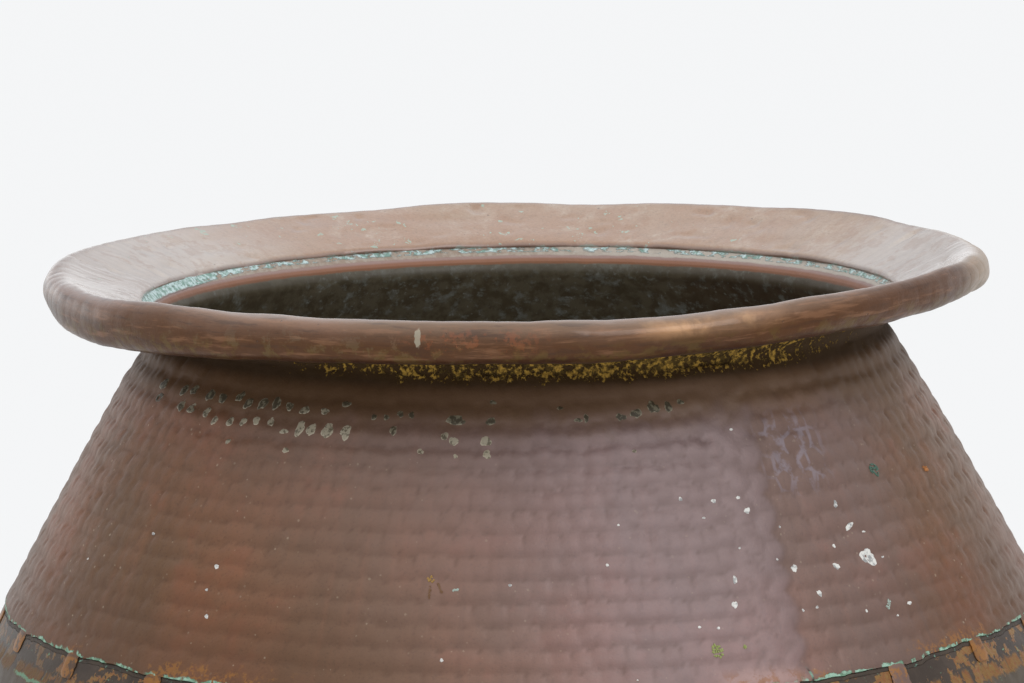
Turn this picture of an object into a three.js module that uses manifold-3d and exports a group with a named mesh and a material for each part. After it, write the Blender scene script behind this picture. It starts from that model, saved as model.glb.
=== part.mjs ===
// Copper cauldron: a raised bowl, a conical shoulder cramped to it, and a dished rim rolled over a hoop.
// Millimetres, +Z up. The origin is the centre of the flat base.
// Every sheet is drawn on its middle surface, so each radius and length below is measured there.

import * as THREE from 'three';
import { mergeVertices } from 'three/addons/utils/BufferGeometryUtils.js';
import Module from 'manifold-3d';

const wasm = await Module();
wasm.setup();

// Bowl, raised from one sheet
const bowlThickness = 2.4;
const baseRadius = 182;
const bottomRadius = 197;
const bellyCrownRadius = 300;

// Cramped seam: fingers outside and tabs inside clasp the bowl's thinned edge
const seamSlope = 28.2;
const fingerCount = 26;
const fingerLength = 18;
const fingerRootWidth = 13;
const fingerTipWidth = 14;
const fingerTipThickness = 0.7;
const crampThickness = 1.1;
const crampRise = 9;
const shearGap = 0.5;
const bowlEdgeThickness = 1.1;
const scarfLength = 4;
const seamBrazeWidth = 2.4;

// Shoulder, one sheet rolled to a cone, with its neck turned outward to a ledge and a lap
const sheetThickness = 2;
const shoulderLength = 192;
const shoulderCrownRadius = 3850;
const neckBendRadius = 7;
const ledgeSlope = 48;
const ledgeLength = 13.5;
const lapBendRadius = 4;
const lapLength = 16;

// Rim, of the shoulder's sheet: dished flange, then a roll of three arcs that ends under the flange
const flangeSlope = 24.5;
const flangeOverhang = 2;
const flangeLength = 49.7;
const rimCornerRadius = 8;
const rimCornerTurn = 60;
const rimFaceRadius = 14;
const rimFaceTurn = 65;
const curlTurn = 135;

// Round iron hoop inside the roll, and the brass fillet between lap and flange
const hoopDiameter = 13.4;
const neckFilletSize = 4;

// Fits and facets
const clearance = 0.3;
const segments = 56;
const trimStep = 0.02;
const rootBridge = 0.2;
const cutMargin = 4;

const toRadians = THREE.MathUtils.degToRad;
const toDegrees = THREE.MathUtils.radToDeg;

// A stop is a point in the plane of radius x and height y, with a heading: 0 is outward, 90 is up
function shifted(stop, along, left) {
  const angle = toRadians(stop.heading);
  return {
    x: stop.x + along * Math.cos(angle) - left * Math.sin(angle),
    y: stop.y + along * Math.sin(angle) + left * Math.cos(angle),
    heading: stop.heading,
  };
}

// A route is a chain of tangent lines and arcs
class Route {
  constructor(start) {
    this.stops = [start];
  }

  get end() {
    return this.stops[this.stops.length - 1];
  }

  line(length) {
    this.stops.push(shifted(this.end, length, 0));
    return this;
  }

  // A positive turn goes left, a negative one right
  arc(radius, turn, steps) {
    const start = this.end;
    const reach = Math.sign(turn) * radius;
    const centre = shifted(start, 0, reach);
    for (let i = 1; i <= steps; i += 1) {
      const heading = start.heading + (turn * i) / steps;
      this.stops.push(shifted({ ...centre, heading }, 0, -reach));
    }
    return this;
  }
}

function rightSide(stops, distance) {
  return stops.map((stop) => shifted(stop, 0, -distance));
}

function leftSideBack(stops, distance) {
  return stops.map((stop) => shifted(stop, 0, distance)).reverse();
}

function arcTurn(length, radius) {
  return toDegrees(length / radius);
}

// Keeps only the corners, so that faces which meet share them
function welded(geometry) {
  geometry.deleteAttribute('normal');
  geometry.deleteAttribute('uv');
  return mergeVertices(geometry);
}

// Outlines run anticlockwise in the plane of radius and height
function revolve(outline) {
  const points = outline.map(({ x, y }) => new THREE.Vector2(x, y));
  const meetsAxis = outline[0].x === 0;
  if (!meetsAxis) {
    points.push(points[0].clone());
  }
  const geometry = new THREE.LatheGeometry(points, segments);
  geometry.rotateX(Math.PI / 2);
  return welded(geometry);
}

function toSolid(geometry) {
  return new wasm.Manifold(new wasm.Mesh({
    numProp: 3,
    vertProperties: new Float32Array(geometry.attributes.position.array),
    triVerts: new Uint32Array(geometry.index.array),
  }));
}

function toGeometry(solid) {
  const { vertProperties, triVerts } = solid.getMesh();
  const geometry = new THREE.BufferGeometry();
  geometry.setAttribute('position', new THREE.BufferAttribute(vertProperties, 3));
  geometry.setIndex(new THREE.BufferAttribute(triVerts, 1));
  return geometry;
}

// Routes of the sheets, each one starting from the sheet below it
const scarfReach = fingerLength + clearance + scarfLength;
const bowlRoute = new Route({ x: 0, y: bowlThickness / 2, heading: 0 })
  .line(baseRadius)
  .arc(bottomRadius, 90, 8)
  .arc(bellyCrownRadius, seamSlope, 3);
const seamRoot = shifted(bowlRoute.end, scarfReach, 0);

const shoulderRoute = new Route(shifted(seamRoot, crampRise, 0))
  .arc(shoulderCrownRadius, arcTurn(shoulderLength, shoulderCrownRadius), 3);
const neckTurn = shoulderRoute.end.heading - ledgeSlope;
shoulderRoute
  .arc(neckBendRadius, -neckTurn, 4)
  .line(ledgeLength)
  .arc(lapBendRadius, flangeSlope - ledgeSlope, 1);
const lapStart = shoulderRoute.end;
shoulderRoute.line(lapLength);
const lapEnd = shoulderRoute.end;

const curlRadius = hoopDiameter / 2 + clearance + sheetThickness / 2;
const rimRoute = new Route(shifted(lapStart, -flangeOverhang, sheetThickness + clearance))
  .line(flangeLength)
  .arc(rimCornerRadius, -flangeSlope - rimCornerTurn, 3)
  .arc(rimFaceRadius, -rimFaceTurn, 2);
const curlCentre = shifted(rimRoute.end, 0, -curlRadius);
rimRoute.arc(curlRadius, -curlTurn, 5);

// The seam's own plane: down the slope from the root, and out from the middle of the sheets
function atSeam(down, out) {
  return shifted(seamRoot, -down, -out);
}

const lipInner = bowlEdgeThickness / 2 + clearance;
const lipOuter = lipInner + crampThickness;
const brazeTop = clearance;
const brazeEnd = brazeTop + seamBrazeWidth;
const bowlEdgeTop = brazeEnd + clearance;

function bowlShell() {
  const half = bowlThickness / 2;
  const edgeHalf = bowlEdgeThickness / 2;
  const scarfEnd = fingerLength + clearance;
  return revolve([
    ...rightSide(bowlRoute.stops, half),
    atSeam(scarfEnd, edgeHalf),
    atSeam(bowlEdgeTop, edgeHalf),
    atSeam(bowlEdgeTop, -edgeHalf),
    atSeam(scarfEnd, -edgeHalf),
    ...leftSideBack(bowlRoute.stops, half),
  ]);
}

function seamBraze() {
  const half = bowlEdgeThickness / 2;
  return revolve([
    atSeam(brazeEnd, half),
    atSeam(brazeTop, half),
    atSeam(brazeTop, -half),
    atSeam(brazeEnd, -half),
  ]);
}

// One finger's plan, as a prism through the sheets: x along the seam, y down the slope
function fingerPrism(index, widening) {
  const flare = (fingerTipWidth - fingerRootWidth) / 2 / fingerLength;
  const halfWidth = (down) => fingerRootWidth / 2 + widening + flare * down;
  const top = -crampRise - cutMargin;
  const bottom = fingerLength + cutMargin;
  const plan = new THREE.Shape([
    new THREE.Vector2(-halfWidth(top), top),
    new THREE.Vector2(halfWidth(top), top),
    new THREE.Vector2(halfWidth(bottom), bottom),
    new THREE.Vector2(-halfWidth(bottom), bottom),
  ]);
  const depth = 2 * (lipOuter + 2 * cutMargin);
  const geometry = new THREE.ExtrudeGeometry(plan, { depth, bevelEnabled: false });
  geometry.translate(0, 0, -depth / 2);

  const azimuth = (2 * Math.PI * index) / fingerCount;
  const slope = toRadians(seamRoot.heading);
  const outward = new THREE.Vector3(Math.sin(azimuth), -Math.cos(azimuth), 0);
  const up = new THREE.Vector3(0, 0, 1);
  const along = new THREE.Vector3(Math.cos(azimuth), Math.sin(azimuth), 0);
  const down = outward.clone().multiplyScalar(-Math.cos(slope)).addScaledVector(up, -Math.sin(slope));
  const inward = new THREE.Vector3().crossVectors(along, down);
  const placement = new THREE.Matrix4().makeBasis(along, down, inward);
  placement.setPosition(outward.multiplyScalar(seamRoot.x).addScaledVector(up, seamRoot.y));
  geometry.applyMatrix4(placement);
  return toSolid(welded(geometry));
}

function allFingers(widening) {
  const prisms = Array.from({ length: fingerCount }, (_, index) => fingerPrism(index, widening));
  return wasm.Manifold.union(prisms);
}

// What is cut from one lip: outside +1, inside -1. A bridge of metal stays in the root.
function lipCutter(side) {
  const faces = [
    [-crampRise - cutMargin / 2, sheetThickness / 2 + trimStep],
    [-clearance, sheetThickness / 2 + trimStep],
    [-clearance, rootBridge],
    [fingerLength + cutMargin / 2, rootBridge],
    [fingerLength + cutMargin / 2, lipOuter + cutMargin],
    [-crampRise - cutMargin / 2, lipOuter + cutMargin],
  ];
  const outline = faces.map(([down, out]) => atSeam(down, side * out));
  if (side < 0) {
    outline.reverse();
  }
  return toSolid(revolve(outline));
}

function shoulderShell() {
  const half = sheetThickness / 2;
  const doubled = toSolid(revolve([
    atSeam(0, lipInner),
    atSeam(fingerLength, lipInner),
    atSeam(fingerLength, lipInner + fingerTipThickness),
    atSeam(0, lipOuter),
    ...rightSide(shoulderRoute.stops, half),
    ...leftSideBack(shoulderRoute.stops, half),
    atSeam(0, -lipOuter),
    atSeam(fingerLength, -lipInner - fingerTipThickness),
    atSeam(fingerLength, -lipInner),
    atSeam(0, -lipInner),
  ]));
  const betweenFingers = lipCutter(1).subtract(allFingers(0));
  const behindFingers = lipCutter(-1).intersect(allFingers(shearGap));
  return toGeometry(doubled.subtract(betweenFingers).subtract(behindFingers));
}

function neckBraze() {
  const half = sheetThickness / 2;
  return revolve([
    shifted(lapEnd, clearance, -half),
    shifted(lapEnd, clearance + neckFilletSize, half),
    shifted(lapEnd, clearance, half),
  ]);
}

function rimFlange() {
  const half = sheetThickness / 2;
  return revolve([
    ...rightSide(rimRoute.stops, half),
    ...leftSideBack(rimRoute.stops, half),
  ]);
}

function rimHoop() {
  const radius = hoopDiameter / 2;
  const outermost = shifted({ ...curlCentre, heading: 90 }, 0, -radius);
  const round = new Route(outermost).arc(radius, 360, 10);
  return revolve(round.stops.slice(1));
}

// Looks: weathered copper outside, brass in the joints, rusty iron in the roll
const agedCopper = { color: 0x6e4a3c, roughness: 0.42, metalness: 0.85 };
const rimCopper = { color: 0x85604f, roughness: 0.4, metalness: 0.85 };
const darkCopper = { color: 0x3f332c, roughness: 0.55, metalness: 0.7 };
const brass = { color: 0xa8823a, roughness: 0.4, metalness: 0.9 };
const iron = { color: 0x3a332f, roughness: 0.7, metalness: 0.8 };

function piece(name, geometry, look) {
  geometry.computeVertexNormals();
  const mesh = new THREE.Mesh(geometry, new THREE.MeshStandardMaterial({ ...look, flatShading: true }));
  mesh.name = name;
  return mesh;
}

const cauldron = new THREE.Group();
cauldron.name = 'copper_cauldron';
cauldron.add(
  piece('bowl_shell', bowlShell(), darkCopper),
  piece('shoulder_shell', shoulderShell(), agedCopper),
  piece('seam_braze', seamBraze(), brass),
  piece('rim_flange', rimFlange(), rimCopper),
  piece('rim_hoop', rimHoop(), iron),
  piece('neck_braze', neckBraze(), brass),
);

export default cauldron;
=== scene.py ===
"""Hammered copper cauldron: skins, seams, rim and weathering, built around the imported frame.

Lengths are millimetres until a mesh is made, and metres in Blender.
Azimuth 0 faces the camera at -Y, and grows towards +X.
"""

import math

import bpy
import numpy as np
from mathutils import Matrix, Vector


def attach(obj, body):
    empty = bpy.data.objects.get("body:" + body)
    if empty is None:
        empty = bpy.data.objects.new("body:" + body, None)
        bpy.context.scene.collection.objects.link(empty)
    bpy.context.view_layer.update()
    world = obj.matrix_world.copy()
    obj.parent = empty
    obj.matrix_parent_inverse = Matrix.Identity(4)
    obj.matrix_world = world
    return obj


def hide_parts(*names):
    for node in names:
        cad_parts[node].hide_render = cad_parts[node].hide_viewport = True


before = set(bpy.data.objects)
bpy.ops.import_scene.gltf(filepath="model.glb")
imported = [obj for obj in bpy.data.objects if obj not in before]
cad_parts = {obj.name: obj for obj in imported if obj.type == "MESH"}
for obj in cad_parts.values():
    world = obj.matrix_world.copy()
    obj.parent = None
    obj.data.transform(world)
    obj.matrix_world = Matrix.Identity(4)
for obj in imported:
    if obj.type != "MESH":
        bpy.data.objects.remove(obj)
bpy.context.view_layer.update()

MM = 0.001
TAU = 2 * math.pi

# Bowl, raised from one sheet
bowl_thickness = 2.4
base_radius = 182
bottom_radius = 197
belly_crown_radius = 300

# Cramped seam between bowl and shoulder
seam_slope = 28.2
finger_count = 26
finger_length = 18
finger_root_width = 13
finger_tip_width = 14
finger_tip_thickness = 0.7
cramp_thickness = 1.1
cramp_rise = 9
shear_gap = 0.5
bowl_edge_thickness = 1.1
scarf_length = 4
seam_braze_width = 2.4

# Shoulder, with its neck turned outward to a ledge and a lap
sheet_thickness = 2
shoulder_length = 192
shoulder_crown_radius = 3850
neck_bend_radius = 7
ledge_slope = 48
ledge_length = 13.5
lap_bend_radius = 4
lap_length = 16

# Rim, rolled over its hoop
flange_slope = 24.5
flange_overhang = 2
flange_length = 49.7
rim_corner_radius = 8
rim_corner_turn = 60
rim_face_radius = 14
rim_face_turn = 65
curl_turn = 135
hoop_diameter = 13.4
neck_fillet_size = 4
clearance = 0.3
bead_overfill = 0.25

# The camera of the photograph, in its pixels
photo_width = 1024
focal_pixels = 5018.7
axis_pixel = (521.65, 341.5)
camera_distance = 3200
camera_above_rim = 402.5
camera_pitch = 8.137
camera_roll = 0.774

# How far the rim has been bent up from its true circle: azimuth, then lift
rim_bends = [
    (-180, 0.7), (-168, 1.1), (-133, -1.4), (-120, -0.3), (-90, -1.5), (-60, -4.4), (-49, -1.8),
    (-40, -0.6), (-20, -0.5), (0, -1.6), (9, -1.6), (21, -0.1), (35, 3.3), (42, 3.6), (51, 4.3),
    (64, 5.8), (76, 6.2), (90, 3.0), (103, 2.4), (123, 2.6), (170, 0.5), (180, 0.7),
]
# The roll was beaten deeper on one side than on the other: azimuth, then share of its drawn depth
roll_depths = [
    (-180, 1.0), (-90, 1.2), (-60, 1.2), (-25, 1.17), (0, 1.05), (35, 0.97), (75, 0.93), (180, 1.0),
]
# Rim and shoulder stand out further on their left: millimetres
rim_reach = 2.2
shoulder_reach = 1.3
# How far the cramped seam wanders up its slope: azimuth, then millimetres
seam_drift = [
    (-180, 0), (-90, 1), (-60, 0), (-30, -1), (0, 0), (30, -2), (41, -1.2), (54, 1.5), (65, 2.5), (90, 1),
    (180, 0),
]


class Route:
    """A chain of tangent lines and arcs in the plane of radius and height: heading 0 is outward, 90 is up.

    A stop holds radius, height, heading and the distance run.
    """

    def __init__(self, radius, height, heading, run=0.0):
        self.stops = [(radius, height, heading, run)]

    @property
    def end(self):
        return self.stops[-1]

    def line(self, length, step):
        start = self.end
        count = max(1, math.ceil(length / step))
        for i in range(1, count + 1):
            part = length * i / count
            radius, height, heading, run = shifted(start, part, 0)
            self.stops.append((radius, height, heading, run + part))
        return self

    def arc(self, radius, turn, step):
        start = self.end
        reach = math.copysign(radius, turn)
        length = abs(math.radians(turn)) * radius
        centre = shifted(start, 0, reach)
        count = max(1, math.ceil(length / step))
        for i in range(1, count + 1):
            heading = start[2] + turn * i / count
            x, y, _, _ = shifted((centre[0], centre[1], heading, 0), 0, -reach)
            self.stops.append((x, y, heading, start[3] + length * i / count))
        return self


def shifted(stop, along, left):
    radius, height, heading, run = stop
    angle = math.radians(heading)
    return (
        radius + along * math.cos(angle) - left * math.sin(angle),
        height + along * math.sin(angle) + left * math.cos(angle),
        heading,
        run,
    )


def arc_turn(length, radius):
    return math.degrees(length / radius)


# Routes of the sheets, each one starting from the sheet below it
scarf_reach = finger_length + clearance + scarf_length
bowl_route = Route(0.01, bowl_thickness / 2, 0).line(base_radius, 9)
bowl_route.arc(bottom_radius, 90, 4.5).arc(belly_crown_radius, seam_slope, 3.2)
bowl_run = bowl_route.end[3]
seam_root = shifted(bowl_route.end, scarf_reach, 0)
seam_root = (seam_root[0], seam_root[1], seam_root[2], 0.0)

shoulder_start = shifted(seam_root, cramp_rise, 0)
shoulder_route = Route(shoulder_start[0], shoulder_start[1], shoulder_start[2], cramp_rise)
shoulder_route.arc(shoulder_crown_radius, arc_turn(shoulder_length, shoulder_crown_radius), 2.45)
shoulder_end = shoulder_route.end
shoulder_rows = len(shoulder_route.stops)
neck_turn = shoulder_end[2] - ledge_slope
shoulder_route.arc(neck_bend_radius, -neck_turn, 1.1).line(ledge_length, 1.9)
shoulder_route.arc(lap_bend_radius, flange_slope - ledge_slope, 0.7)
lap_start = shoulder_route.end
lap_start_row = len(shoulder_route.stops) - 1
shoulder_route.line(lap_length, 5)
lap_end = shoulder_route.end

curl_radius = hoop_diameter / 2 + clearance + sheet_thickness / 2
flange_start = shifted(lap_start, -flange_overhang, sheet_thickness + clearance)
rim_route = Route(flange_start[0], flange_start[1], flange_start[2])
rim_route.line(4, 1).line(flange_length - 4, 2.2)
crest_run = flange_length + rim_corner_radius * math.radians(flange_slope)
rim_route.arc(rim_corner_radius, -flange_slope - rim_corner_turn, 1.1)
rim_route.arc(rim_face_radius, -rim_face_turn, 1.2)
curl_run = rim_route.end[3]
curl_centre = shifted(rim_route.end, 0, -curl_radius)
rim_route.arc(curl_radius, -curl_turn, 1.3)
crest_height = max(stop[1] for stop in rim_route.stops) + sheet_thickness / 2

lip_inner = bowl_edge_thickness / 2 + clearance
lip_outer = lip_inner + cramp_thickness
braze_end = clearance + seam_braze_width
bowl_edge_top = braze_end + clearance


def smooth(low, high, value):
    """0 below low, 1 above high, and an even curve between."""
    part = np.clip((value - low) / (high - low), 0, 1)
    return part * part * (3 - 2 * part)


def turns(count):
    """Azimuths of the points of a ring, closer together in front than behind."""
    even = TAU * np.arange(count) / count - math.pi
    return even - 0.3 * np.sin(even)


class Lumps:
    """A smooth seeded field over azimuth and run, between -1 and 1, that closes round the vessel."""

    rows = 96
    first_row = 40

    def __init__(self, seed, around, cell):
        self.table = np.random.default_rng(seed).uniform(-1, 1, (around, self.rows))
        self.around = around
        self.cell = cell

    def __call__(self, azimuth, run):
        across = azimuth / TAU * self.around
        up = run / self.cell + self.first_row
        i = np.floor(across).astype(int)
        j = np.floor(up).astype(int)
        a = smooth(0, 1, across - i)
        b = smooth(0, 1, up - j)

        def pick(right, above):
            return self.table[(i + right) % self.around, (j + above) % self.rows]

        low = pick(0, 0) * (1 - a) + pick(1, 0) * a
        high = pick(0, 1) * (1 - a) + pick(1, 1) * a
        return low * (1 - b) + high * b


class Hammering:
    """Courses of hammer faces: each is a low cushion with an arched top, and creases run between them.

    A face has its course's height, its width, and the radii of its crown upward and across. The radii of
    the sheet, by run, give the number of faces in a course. Arch rounds off a face's top corners, step
    makes its top stand out, waver bends the courses and uneven sets the faces at unlike depths.
    """

    table_rows = 128
    table_slots = 512
    crease_width = 0.24

    def __init__(
        self, seed, course, width, round_up, round_across, radii, arch=0.0, step=0.0, waver=2.5, uneven=0.05
    ):
        rng = np.random.default_rng(seed)
        self.course = course
        self.width = width
        self.round_up = round_up
        self.round_across = round_across
        self.radii = radii
        self.arch = arch
        self.step = step
        self.waver = waver
        self.uneven = uneven
        self.wave = Lumps(seed + 1, 17, 60)
        shape = (self.table_rows, self.table_slots)
        self.shift_across = rng.uniform(-0.22, 0.22, shape)
        self.shift_up = rng.uniform(-0.12, 0.12, shape)
        self.depth = rng.uniform(-uneven, uneven, shape)
        self.phase = rng.uniform(0, 1, self.table_rows)

    def __call__(self, azimuth, run):
        """Depth below the highest cushion, and the shade painted on the spot: 1 in a crease, 0 high on a
        face, more low on each face, and a random tone per face.
        """
        run = run + self.waver * self.wave(azimuth, run)
        course = np.floor(run / self.course)
        nearest = np.full(run.shape, np.inf)
        second = nearest.copy()
        low = np.zeros(run.shape)
        own = low.copy()
        for row_step in (-1, 0, 1):
            row = (course + row_step).astype(int)
            middle = (row + 0.5) * self.course
            radius = np.interp(middle, *self.radii)
            count = np.round(TAU * radius / self.width)
            phase = self.phase[row % self.table_rows]
            slot = np.floor(azimuth / TAU * count - phase)
            for slot_step in (-1, 0, 1):
                face = slot + slot_step
                key = (row % self.table_rows, (face % count).astype(int) % self.table_slots)
                centre = (face + 0.5 + phase + self.shift_across[key]) * TAU / count
                across = (azimuth - centre) * radius
                up = run - middle - self.shift_up[key] * self.course
                corner = np.minimum((across * 2 / self.width) ** 4, 2) * np.maximum(up * 2 / self.course, 0)
                fall = across**2 / 2 / self.round_across + up**2 / 2 / self.round_up
                fall = fall + self.arch * corner - self.step * up + self.depth[key]
                second = np.minimum(second, np.maximum(nearest, fall))
                low = np.where(fall < nearest, -up, low)
                own = np.where(fall < nearest, self.depth[key] / self.uneven, own)
                nearest = np.minimum(nearest, fall)
        crease = 1 - np.clip((second - nearest) / self.crease_width, 0, 1)
        # Creases between two courses are the stronger ones, and at the vessel's sides all are
        level = smooth(0.2, 0.42, np.abs(low) / self.course)
        crease = crease * (0.45 + 0.55 * np.maximum(level, smooth(0.6, 0.9, np.abs(np.sin(azimuth)))))
        # The lower part of each face is painted darker, as shade under light from above
        lower_part = smooth(-0.1 * self.course, 0.5 * self.course, low)
        return nearest, np.maximum(crease, 0.5 * lower_part + 0.16 * own)


settling = Lumps(5, 7, 190)
dents = Lumps(6, 26, 46)
seam_waves = Lumps(7, 90, 400)
seam_jags = Lumps(8, 420, 400)


def degrees_round(azimuth):
    """The azimuth in degrees, from -180 to 180."""
    return np.degrees((azimuth + math.pi) % TAU - math.pi)


def placed(azimuth, radius, height):
    """Points of the vessel in metres, with the slight lopsidedness of hand work and the bent rim."""
    azimuth, radius, height = np.broadcast_arrays(azimuth, radius, height)
    degrees = degrees_round(azimuth)
    to_left = 1 - np.sin(azimuth)
    off_floor = smooth(0, 60, height)
    radius = radius + off_floor * (0.5 * settling(azimuth, height) + 0.25 * dents(azimuth, height))
    on_shoulder = smooth(260, 400, height) * (1 - smooth(500, 530, height))
    radius = radius + shoulder_reach * to_left * on_shoulder

    at_seam = np.exp(-(((height - seam_root[1]) / 11) ** 2))
    drift = np.interp(degrees, *zip(*seam_drift)) + 1.1 * seam_waves(azimuth, 0 * height)
    drift = (drift + 0.6 * seam_jags(azimuth, 0 * height)) * at_seam
    slope = math.radians(seam_root[2])
    radius = radius + drift * math.cos(slope)
    height = height + drift * math.sin(slope)

    depth = np.interp(degrees, *zip(*roll_depths))
    deeper = np.maximum(crest_height - height - 3, 0) * (depth - 1)
    deeper = deeper * smooth(255, 285, radius) * smooth(500, 530, height)
    bend = np.interp(degrees, *zip(*rim_bends)) * smooth(250, 296, radius) * smooth(500, 535, height)
    radius = radius + rim_reach * to_left * smooth(250, 300, radius) * smooth(500, 535, height)
    height = height - deeper + bend
    points = np.stack([radius * np.sin(azimuth), -radius * np.cos(azimuth), height], axis=-1)
    return points.reshape(-1, 3) * MM


def side_rows(stops, out, outward=1):
    """Rows along one side of a sheet, out to the right of its route: radius, height, normal, run."""
    rows = []
    for stop in stops:
        radius, height, heading, run = shifted(stop, 0, -out)
        angle = math.radians(heading)
        rows.append((radius, height, outward * math.sin(angle), -outward * math.cos(angle), run))
    return rows


def seam_row(down, out, outward=1):
    """A row in the seam's own plane: down the slope from its root, and out from the sheets' middle."""
    radius, height, heading, _ = shifted(seam_root, -down, -out)
    angle = math.radians(heading)
    return (radius, height, outward * math.sin(angle), -outward * math.cos(angle), -down)


# How the meshes are made: points in a ring, the smallest ring inside, edges that stay sharp in degrees,
# and the run to one unit of the wrap attribute
sheet_points = 576
plain_points = sheet_points // 2
rim_points = 1040
plain_rim_points = rim_points // 2
bead_points = 800
bar_points = 400
smallest_ring = 12
sharp_angle = 55
wrap_run = 300
# What a point's facts say far inside the vessel, and on the deposits
far_inside = 300.0
off_seam = 200.0


class Body:
    """The points and faces of one piece, with the facts that each point tells its finish."""

    def __init__(self):
        self.points = []
        self.faces = []
        self.facts = []
        self.size = 0

    def add(self, points, azimuth, run, **facts):
        count = len(points)
        base = self.size
        full = {key: np.broadcast_to(value, count) for key, value in facts.items()}
        full["azimuth"] = np.broadcast_to(azimuth, count)
        full["run"] = np.broadcast_to(run, count)
        self.points.append(points)
        self.facts.append(full)
        self.size += count
        return base + np.arange(count)

    def ring(self, count, row, relief=None, **facts):
        """One ring of points round the vessel, pushed out by the relief at each."""
        radius, height, normal_out, normal_up, run = row
        azimuth = turns(count)
        push, dirt = relief(azimuth, run) if relief else (0.0, 0.0)
        points = placed(azimuth, radius + push * normal_out, height + push * normal_up)
        return self.add(points, azimuth, run, dirt=dirt, **facts)

    def bridge(self, low, high):
        """Faces between two rings, where neighbours have the same number of points or twice as many."""
        a, b = len(low), len(high)
        low_next, high_next = np.roll(low, -1), np.roll(high, -1)
        if b == 1:
            self.faces += [(p, q, high[0]) for p, q in zip(low, low_next)]
        elif a == 1:
            self.faces += [(low[0], q, p) for p, q in zip(high, high_next)]
        elif a == b:
            self.faces += list(zip(low, low_next, high_next, high))
        elif a == 2 * b:
            even, odd, after = low[::2], low[1::2], low_next[1::2]
            self.faces += list(zip(even, odd, high)) + list(zip(odd, high_next, high))
            self.faces += list(zip(odd, after, high_next))
        else:
            even, odd, after = high[::2], high[1::2], high_next[1::2]
            self.faces += list(zip(low, odd, even)) + list(zip(low, low_next, odd))
            self.faces += list(zip(low_next, after, odd))

    def revolve(self, rings, closed=True):
        for low, high in zip(rings, rings[1:] + (rings[:1] if closed else [])):
            self.bridge(low, high)

    def block(self, grids):
        """A closed body between two grids of the same size, the second one behind the first."""
        front, back = grids
        rows, columns = front.shape
        for grid, order in ((front, 1), (back, -1)):
            for i in range(rows - 1):
                for j in range(columns - 1):
                    face = (grid[i, j], grid[i, j + 1], grid[i + 1, j + 1], grid[i + 1, j])
                    self.faces.append(face[::order])
        edge = [(0, j) for j in range(columns)]
        edge += [(i, columns - 1) for i in range(1, rows)]
        edge += [(rows - 1, j) for j in range(columns - 2, -1, -1)]
        edge += [(i, 0) for i in range(rows - 2, 0, -1)]
        for here, there in zip(edge, edge[1:] + edge[:1]):
            self.faces.append((front[there], front[here], back[here], back[there]))

    def finish(self, name, material):
        """The piece itself, riding on the frame."""
        mesh = bpy.data.meshes.new(name)
        faces = [tuple(int(i) for i in face) for face in self.faces]
        mesh.from_pydata(np.concatenate(self.points).tolist(), [], faces)
        mesh.polygons.foreach_set("use_smooth", [True] * len(mesh.polygons))
        mesh.set_sharp_from_angle(angle=math.radians(sharp_angle))
        keys = sorted({key for facts in self.facts for key in facts})
        blanks = [np.zeros(len(points)) for points in self.points]
        fact = {
            key: np.concatenate([facts.get(key, blank) for facts, blank in zip(self.facts, blanks)])
            for key in keys
        }
        wrap = np.stack([np.sin(fact["azimuth"]), np.cos(fact["azimuth"]), fact["run"] / wrap_run], axis=-1)
        mesh.attributes.new("wrap", "FLOAT_VECTOR", "POINT").data.foreach_set("vector", wrap.ravel())
        for key in keys:
            if key != "azimuth":
                layer = mesh.attributes.new(key, "FLOAT", "POINT")
                layer.data.foreach_set("value", fact[key].astype(float))
        mesh.materials.append(material)
        piece = bpy.data.objects.new(name, mesh)
        bpy.context.scene.collection.objects.link(piece)
        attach(piece, "root")
        return piece


# Shader nodes

class Wire:
    """An output socket of a finish: its operators and methods add the nodes that work on it."""

    def __init__(self, finish, socket):
        self.finish = finish
        self.socket = socket

    def math(self, operation, *values):
        return self.finish.node("ShaderNodeMath", {"operation": operation}, values)

    def __add__(self, other):
        return self.math("ADD", self, other)

    def __sub__(self, other):
        return self.math("SUBTRACT", self, other)

    def __rsub__(self, other):
        return self.math("SUBTRACT", other, self)

    def __mul__(self, other):
        return self.math("MULTIPLY", self, other)

    __radd__ = __add__
    __rmul__ = __mul__

    def step(self, low, high, start=0.0, end=1.0):
        """start below low, end above high, and an even curve between."""
        sockets = (self, low, high, start, end)
        return self.finish.node("ShaderNodeMapRange", {"interpolation_type": "SMOOTHSTEP"}, sockets)

    def between(self, low, high, blur):
        """1 from low to high and 0 outside, with edges as soft as the blur."""
        return self.step(low - blur, low + blur) * self.step(high + blur, high - blur)

    def blend(self, a, b):
        """Colour a where the wire is 0, and b where it is 1."""
        return self.finish.node("ShaderNodeMix", {"data_type": "RGBA"}, (self, a, b))


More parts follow.
